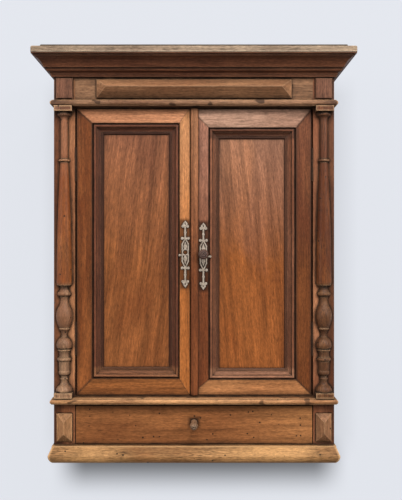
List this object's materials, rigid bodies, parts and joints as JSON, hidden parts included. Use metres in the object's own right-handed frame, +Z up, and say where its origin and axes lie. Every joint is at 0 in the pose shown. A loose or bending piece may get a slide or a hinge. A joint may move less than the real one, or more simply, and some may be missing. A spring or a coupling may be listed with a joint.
{
  "type": "wall cabinet",
  "caption": "Wooden wall cabinet with panelled doors between split turned columns, a drawer below and a moulded cornice; the doors, drawer and turn catch move.",
  "frame": {"origin": "middle of the underside, halfway between the wall and the front of the base moulding", "axes": "+X to the right seen from the front, +Y from the front to the wall, +Z up"},
  "size_m": [0.5728, 0.226, 0.744],
  "materials": {
    "stained_wood": "worn satin wax",
    "cornice_wood": "worn satin wax",
    "door_wood": "satin wax",
    "inside_wood": "bare, dry",
    "white_metal": "dull polish",
    "hinge_iron": "dark, dull"
  },
  "bodies": {
    "case": {"bottom_rail": "stained_wood", "base_moulding_front": "stained_wood", "base_moulding_returns": "stained_wood", "left_side": "stained_wood", "right_side": "stained_wood", "left_stile": "stained_wood", "right_stile": "stained_wood", "sill_rail": "stained_wood", "waist_moulding_front": "stained_wood", "waist_moulding_returns": "stained_wood", "left_column": "stained_wood", "right_column": "stained_wood", "left_facet_block": "stained_wood", "right_facet_block": "stained_wood", "frieze_board": "stained_wood", "frieze_bar": "stained_wood", "left_frieze_block": "stained_wood", "right_frieze_block": "stained_wood", "frieze_moulding_front": "stained_wood", "frieze_moulding_returns": "stained_wood", "cornice_front": "cornice_wood", "cornice_left": "cornice_wood", "cornice_right": "cornice_wood", "cornice_cap": "cornice_wood", "top_board": "cornice_wood", "base_board": "inside_wood", "cupboard_floor": "inside_wood", "case_top": "inside_wood", "back_boards": "inside_wood", "hanging_rail": "inside_wood", "shelf": "inside_wood", "shelf_cleats": "inside_wood", "drawer_runners": "inside_wood", "hinge_frame_leaves": "hinge_iron", "hinge_pins": "hinge_iron"},
    "left_door": {"left_door_hinge_stile": "door_wood", "left_door_meeting_stile": "door_wood", "left_door_top_rail": "door_wood", "left_door_bottom_rail": "door_wood", "left_door_panel": "door_wood", "left_door_moulding": "door_wood", "left_plate": "white_metal", "left_door_leaves": "hinge_iron"},
    "right_door": {"right_door_hinge_stile": "door_wood", "right_door_meeting_stile": "door_wood", "right_door_top_rail": "door_wood", "right_door_bottom_rail": "door_wood", "right_door_panel": "door_wood", "right_door_moulding": "door_wood", "meeting_bead": "door_wood", "right_plate": "white_metal", "right_door_leaves": "hinge_iron"},
    "drawer": {"drawer_front": "stained_wood", "drawer_knob": "stained_wood", "drawer_left_side": "inside_wood", "drawer_right_side": "inside_wood", "drawer_back": "inside_wood", "drawer_bottom": "inside_wood"},
    "turn_knob_set": {"turn_knob": "cornice_wood", "turn_catch": "hinge_iron"}
  },
  "joints": [
    {"name": "left_door_hinge", "type": "hinge", "parent": "case", "child": "left_door", "pos_m": [-0.2125, -0.0874, 0.376], "axis": [0, 0, -1], "range_deg": [0, 100]},
    {"name": "right_door_hinge", "type": "hinge", "parent": "case", "child": "right_door", "pos_m": [0.2125, -0.0874, 0.376], "axis": [0, 0, 1], "range_deg": [0, 100]},
    {"name": "drawer_slide", "type": "slide", "parent": "case", "child": "drawer", "axis": [0, -1, 0], "range_m": [0, 0.12]},
    {"name": "turn_knob_spindle", "type": "hinge", "parent": "right_door", "child": "turn_knob_set", "pos_m": [0.0168, -0.087, 0.3721], "axis": [0, -1, 0], "range_deg": [0, 90]}
  ]
}
